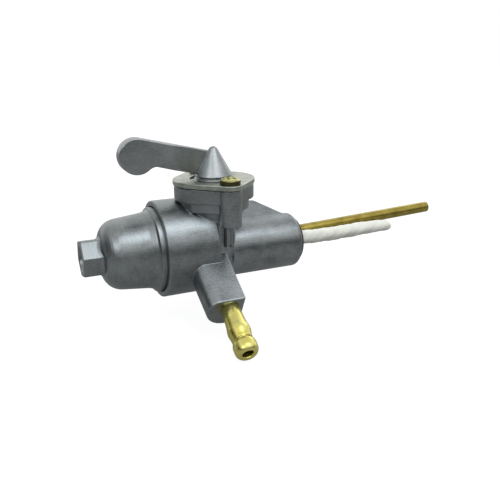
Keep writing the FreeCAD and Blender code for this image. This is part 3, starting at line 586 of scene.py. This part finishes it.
def sleeve_ring(i, skin):
    """One ring of points of the outer skin (0) or the inner skin (1)."""
    s = (SLEEVE_END - SLEEVE_START) * i / (ROWS - 1)
    flat = max(0.0, min(1.0, (s - FLAT_START) / FLAT_RUN))
    flat = flat * flat * (3 - 2 * flat)
    tip = math.sqrt(max(0.0, 1 - max(0.0, (s - TIP_START) / TIP_RUN) ** 2 * 0.8))
    high = SLEEVE_R * (1 - 0.14 * flat) * tip - CLOTH * skin * tip
    wide = SLEEVE_R * (1 - 0.1 * flat) - CLOTH * skin
    depth = CREASE * min(1.0, s / 4.0) * (1 - 0.3 * flat)
    # only the first and the last ring are uneven
    ragged = {0: 0.25, ROWS - 1: -0.25}.get(i, 0.0)
    y0 = SLEEVE_Y + 0.12 * math.sin(0.21 * s)
    z0 = SLEEVE_Z + 0.10 * math.sin(0.17 * s + 1) + 0.1 * flat
    points = []
    for j in range(COLS):
        a = 2 * math.pi * j / COLS
        c = depth * crease(a, s)
        x = min(SLEEVE_START + s + ragged * math.sin(2 * a + 0.7), SLEEVE_END)
        points.append((x, y0 + (wide + c) * math.cos(a), z0 + (high + c) * math.sin(a)))
    return points


def sleeve_mesh():
    points, faces = [], []
    for skin in (0, 1):
        for i in range(ROWS):
            points += sleeve_ring(i, skin)
    n = ROWS * COLS
    for skin in (0, 1):
        way = -1 if skin else 1
        for i in range(ROWS - 1):
            near = skin * n + i * COLS
            far = near + COLS
            for j in range(COLS):
                k = (j + 1) % COLS
                faces.append((near + j, near + k, far + k, far + j)[::way])
    # open end: a hem between the two skins
    for j in range(COLS):
        k = (j + 1) % COLS
        faces.append((n + j, n + k, k, j))
    # welded end: the outer and the inner skin each close on a seam
    for skin in (0, 1):
        way = -1 if skin else 1
        first = skin * n + (ROWS - 1) * COLS
        for j in range(COLS // 2):
            upper, lower = first + j, first + (COLS - j) % COLS
            corners = (upper, upper + 1, first + COLS - j - 1, lower)
            # at both ends of the seam two corners are one, which leaves a triangle
            faces.append(tuple(dict.fromkeys(corners))[::way])
    return smooth_mesh("gauze_sleeve", points, faces)


sleeve = add_object("gauze_sleeve", sleeve_mesh())
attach(sleeve, "tap")
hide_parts("filter_sleeve")


# Node trees
class Tree:
    """Short ways to add and join shader nodes."""

    def __init__(self, tree):
        self.tree = tree

    def add(self, kind, **values):
        node = self.tree.nodes.new(kind)
        for key, value in values.items():
            setattr(node, key, value)
        return node

    def link(self, a, b):
        self.tree.links.new(a, b)

    def span(self, value, low, high, a=0.0, b=1.0, **values):
        """Maps low to high onto a to b."""
        node = self.add("ShaderNodeMapRange", **values)
        node.inputs["From Min"].default_value = low
        node.inputs["From Max"].default_value = high
        node.inputs["To Min"].default_value = a
        node.inputs["To Max"].default_value = b
        self.link(value, node.inputs["Value"])
        return node.outputs["Result"]

    def math(self, op, a, b):
        node = self.add("ShaderNodeMath", operation=op)
        for k, v in enumerate((a, b)):
            if isinstance(v, (int, float)):
                node.inputs[k].default_value = v
            else:
                self.link(v, node.inputs[k])
        return node.outputs[0]

    def dot(self, vector, direction):
        node = self.add("ShaderNodeVectorMath", operation="DOT_PRODUCT")
        node.inputs[1].default_value = direction
        self.link(vector, node.inputs[0])
        return node.outputs["Value"]


class Material(Tree):
    """A material whose texture positions are in millimetres."""

    def __init__(self, name):
        self.mat = bpy.data.materials.new(name)
        self.mat.use_nodes = True
        super().__init__(self.mat.node_tree)
        self.shader = self.tree.nodes["Principled BSDF"]
        coord = self.add("ShaderNodeTexCoord")
        scale = self.add("ShaderNodeVectorMath", operation="SCALE")
        scale.inputs["Scale"].default_value = 1000.0
        self.link(coord.outputs["Object"], scale.inputs[0])
        self.place = scale.outputs[0]

    def noise(self, scale, detail, rough, stretch=None):
        node = self.add("ShaderNodeTexNoise")
        node.inputs["Scale"].default_value = scale
        node.inputs["Detail"].default_value = detail
        node.inputs["Roughness"].default_value = rough
        source = self.place
        if stretch:
            scaled = self.add("ShaderNodeVectorMath", operation="MULTIPLY")
            scaled.inputs[1].default_value = stretch
            self.link(self.place, scaled.inputs[0])
            source = scaled.outputs[0]
        self.link(source, node.inputs["Vector"])
        return node.outputs["Fac"]

    def rings(self, axis, scale):
        """Turning marks: a noise that changes only along an axis."""
        node = self.add("ShaderNodeTexNoise", noise_dimensions="1D")
        node.inputs["Scale"].default_value = scale
        node.inputs["Detail"].default_value = 2.0
        self.link(self.dot(self.place, axis), node.inputs["W"])
        return node.outputs["Fac"]

    def mix(self, factor, a, b):
        """Blends two colours, each a tuple or another node's output."""
        node = self.add("ShaderNodeMix", data_type="RGBA")
        self.link(factor, node.inputs[0])
        for k, v in ((6, a), (7, b)):
            if isinstance(v, tuple):
                node.inputs[k].default_value = (*v, 1.0)
            else:
                self.link(v, node.inputs[k])
        return node.outputs[2]

    def bump(self, height, strength, distance):
        node = self.add("ShaderNodeBump")
        node.inputs["Strength"].default_value = strength
        node.inputs["Distance"].default_value = distance * 0.001
        self.link(height, node.inputs["Height"])
        return node.outputs[0]

    def finish(self, color, rough, normal, metallic):
        if isinstance(color, tuple):
            self.shader.inputs["Base Color"].default_value = (*color, 1.0)
        else:
            self.link(color, self.shader.inputs["Base Color"])
        if isinstance(rough, float):
            self.shader.inputs["Roughness"].default_value = rough
        else:
            self.link(rough, self.shader.inputs["Roughness"])
        self.link(normal, self.shader.inputs["Normal"])
        self.shader.inputs["Metallic"].default_value = metallic
        return self.mat


# Materials
def cast_metal(name, dark, light, streaks):
    """Bare die-cast alloy: broad patches, grain, and brush marks stretched by streaks."""
    m = Material(name)
    broad = m.noise(0.13, 3.0, 0.55)
    grain = m.noise(2.2, 4.0, 0.65)
    fine = m.noise(6.0, 2.0, 0.5)
    brushed = m.noise(1.0, 3.0, 0.6, streaks)
    tone = m.math("ADD", m.math("MULTIPLY", broad, 0.4), m.math("MULTIPLY", grain, 0.45))
    tone = m.math("ADD", tone, m.math("MULTIPLY", brushed, 0.2))
    color = m.mix(m.span(tone, 0.38, 0.62), dark, light)
    rough = m.math("ADD", m.span(broad, 0.3, 0.7, 0.30, 0.40), m.span(grain, 0.3, 0.7, -0.05, 0.07))
    height = m.math("ADD", m.math("MULTIPLY", grain, 0.6), m.math("MULTIPLY", fine, 0.35))
    height = m.math("ADD", height, m.math("MULTIPLY", brushed, 0.35))
    return m.finish(color, rough, m.bump(height, 0.5, 0.05), 1.0)


def zinc_plate():
    m = Material("zinc_plate")
    broad, grain = m.noise(0.3, 3.0, 0.6), m.noise(3.0, 3.0, 0.6)
    color = m.mix(m.span(broad, 0.35, 0.65), (0.34, 0.365, 0.315), (0.50, 0.53, 0.455))
    return m.finish(color, m.span(grain, 0.3, 0.7, 0.3, 0.42), m.bump(grain, 0.25, 0.02), 1.0)


def yellow_zinc():
    """Plating on the screws, with painted shade low on the head and down in the recess."""
    m = Material("yellow_zinc")
    broad, grain = m.noise(0.5, 3.0, 0.6), m.noise(4.0, 3.0, 0.6)
    bright = m.mix(m.span(broad, 0.35, 0.65), (0.40, 0.39, 0.15), (0.68, 0.67, 0.30))
    # the top of the painted shade, a height in the frame, whose origin lies DROP below the bowl axis
    painted_shade_top = PLATE_TOP + DROP + 1.76
    unshaded = m.span(m.dot(m.place, (0, 0, 1)), painted_shade_top - 0.5, painted_shade_top)
    # painted shade: below that height the plating's colour turns almost black
    color = m.mix(unshaded, (0.09, 0.08, 0.035), bright)
    return m.finish(color, m.span(grain, 0.3, 0.7, 0.2, 0.32), m.bump(grain, 0.2, 0.02), 1.0)


def turned_brass():
    m = Material("turned_brass")
    broad, marks = m.noise(0.25, 2.0, 0.5), m.rings(OUT, 2.2)
    color = m.mix(m.span(broad, 0.35, 0.65), (0.76, 0.67, 0.18), (0.90, 0.82, 0.28))
    return m.finish(color, m.span(marks, 0.3, 0.7, 0.24, 0.34), m.bump(marks, 0.25, 0.02), 1.0)


def drawn_brass():
    m = Material("tube_brass")
    broad, fine = m.noise(0.25, 4.0, 0.6), m.noise(1.0, 3.0, 0.6, (0.2, 6.0, 6.0))
    color = m.mix(m.span(broad, 0.35, 0.65), (0.30, 0.23, 0.045), (0.46, 0.37, 0.09))
    return m.finish(color, m.span(fine, 0.3, 0.7, 0.26, 0.4), m.bump(fine, 0.15, 0.02), 1.0)


def black_rubber():
    m = Material("black_rubber")
    grain = m.noise(3.0, 3.0, 0.6)
    color = m.mix(m.span(grain, 0.3, 0.7), (0.012, 0.012, 0.013), (0.03, 0.03, 0.032))
    return m.finish(color, m.span(grain, 0.3, 0.7, 0.5, 0.65), m.bump(grain, 0.2, 0.03), 0.0)


def filter_cloth():
    m = Material("filter_cloth")
    broad, grain = m.noise(0.35, 3.0, 0.6), m.noise(5.0, 2.0, 0.5)
    color = m.mix(m.span(broad, 0.35, 0.65), (0.92, 0.92, 0.80), (0.97, 0.97, 0.89))
    return m.finish(color, 0.6, m.bump(grain, 0.4, 0.05), 0.0)


def wire_gauze():
    m = Material("wire_gauze")
    weave = m.noise(4.0, 2.0, 0.5)
    return m.finish((0.7, 0.54, 0.22), m.span(weave, 0.3, 0.7, 0.25, 0.4), m.bump(weave, 0.6, 0.05), 1.0)


def spring_steel():
    m = Material("spring_steel")
    grain = m.noise(4.0, 2.0, 0.5)
    return m.finish((0.55, 0.55, 0.56), m.span(grain, 0.3, 0.7, 0.2, 0.34), m.bump(grain, 0.2, 0.02), 1.0)


def put(mat, *objects):
    for obj in objects:
        obj.data.materials.clear()
        obj.data.materials.append(mat)


put(cast_metal("cast_alloy", (0.175, 0.19, 0.19), (0.35, 0.375, 0.385), (0.25, 2.4, 2.4)), body)
put(cast_metal("bowl_alloy", (0.18, 0.195, 0.195), (0.34, 0.365, 0.37), (3.2, 0.25, 0.25)), bowl)
put(cast_metal("lever_alloy", (0.24, 0.26, 0.26), (0.41, 0.43, 0.43), (0.3, 1.5, 2.4)), lever)
put(zinc_plate(), plate)
put(yellow_zinc(), screws)
put(turned_brass(), barb)
put(drawn_brass(), stand, reserve)
put(black_rubber(), ring, seat, nodes["valve_seal"])
put(filter_cloth(), sleeve)
put(wire_gauze(), nodes["strainer_gauze"], nodes["strainer_hoop"])
put(spring_steel(), nodes["spring_washer"])


# Floor: white to the camera, dimmer in the metal, and dark enough to keep the shadow
def pale_floor():
    mat = bpy.data.materials.new("pale_floor")
    mat.use_nodes = True
    t = Tree(mat.node_tree)
    shader = t.tree.nodes["Principled BSDF"]
    shader.inputs["Base Color"].default_value = (0.25, 0.25, 0.25, 1)
    shader.inputs["Roughness"].default_value = 1.0
    shader.inputs["Specular IOR Level"].default_value = 0.0
    shader.inputs["Emission Color"].default_value = (1, 1, 1, 1)
    ray = t.add("ShaderNodeLightPath").outputs
    seen = t.math("MULTIPLY", ray["Is Camera Ray"], 0.88)
    mirrored = t.math("MAXIMUM", ray["Is Glossy Ray"], ray["Is Transmission Ray"])
    glow = t.math("ADD", seen, t.math("MULTIPLY", mirrored, 0.12))
    t.link(glow, shader.inputs["Emission Strength"])
    return mat


floor_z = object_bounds()[0].z - 0.0002
bpy.ops.mesh.primitive_circle_add(vertices=96, radius=3.0, fill_type="NGON", location=(0, 0, floor_z))
floor = bpy.context.object
floor.name = "floor"
put(pale_floor(), floor)


# World: a white sweep behind and above the object, a dimmer room on the camera's side
def studio():
    world = bpy.data.worlds.new("studio")
    world.use_nodes = True
    t = Tree(world.node_tree)
    ray = t.add("ShaderNodeTexCoord").outputs["Generated"]

    def sweep(direction, start, stop):
        """Rises from 0 to 1 as a ray turns towards a direction."""
        return t.span(t.dot(ray, direction), start, stop, interpolation_type="SMOOTHSTEP")

    behind = sweep((0.41, 0.91, 0.0), -0.05, 0.65)
    above = sweep((0.05, -0.15, 0.985), 0.28, 0.66)
    crown = t.span(t.dot(ray, (0, 0, 1)), 0.6, 0.9, 1.0, 0.7)
    bright = t.math("MAXIMUM", behind, t.math("MULTIPLY", above, crown))
    level = t.span(bright, 0.0, 1.0, 0.03, 1.0)
    seen = t.add("ShaderNodeLightPath").outputs["Is Camera Ray"]
    back = t.tree.nodes["Background"]
    back.inputs["Color"].default_value = (1, 1, 1, 1)
    t.link(t.math("MAXIMUM", seen, level), back.inputs["Strength"])
    return world


bpy.context.scene.world = studio()


# Soft boxes, in metres and watts
def lamp(name, at, size, power):
    light = bpy.data.lights.new(name, "AREA")
    light.shape = "RECTANGLE"
    light.size, light.size_y = size
    light.energy = power
    light.color = (0.92, 0.99, 1.05)
    obj = add_object(name, light)
    obj.location = at
    centre = Vector((-0.018, 0.0, 0.0))
    obj.rotation_euler = (centre - Vector(at)).to_track_quat("-Z", "Y").to_euler()


lamp("top_box", (0.04, -0.28, 0.5), (0.35, 0.22), 0.75)
lamp("left_box", (-0.45, -0.35, 0.4), (0.25, 0.25), 0.5)
lamp("rim_box", (0.5, 0.4, 0.3), (0.3, 0.3), 0.3)


# Camera, at the photograph's viewing angle
def photo_camera():
    azimuth, elevation, roll = math.radians(-24.33), math.radians(18.59), math.radians(-0.27)
    distance = 0.22792
    aim = Vector((-0.01768, 0.0, -0.00219))
    flat = math.cos(elevation)
    away = Vector((math.sin(azimuth) * flat, -math.cos(azimuth) * flat, math.sin(elevation)))
    cam = bpy.data.cameras.new("camera")
    cam.sensor_width = 36.0
    cam.lens = 43.2
    cam.clip_start = 0.005
    cam.clip_end = 20.0
    obj = add_object("camera", cam)
    obj.location = aim + away * distance
    turn = (-away).to_track_quat("-Z", "Y").to_matrix()
    right, up = turn.col[0].copy(), turn.col[1].copy()
    turn.col[0] = right * math.cos(roll) + up * math.sin(roll)
    turn.col[1] = up * math.cos(roll) - right * math.sin(roll)
    obj.rotation_euler = turn.to_euler()
    return obj


bpy.context.scene.camera = photo_camera()
bpy.context.scene.view_settings.view_transform = "Standard"
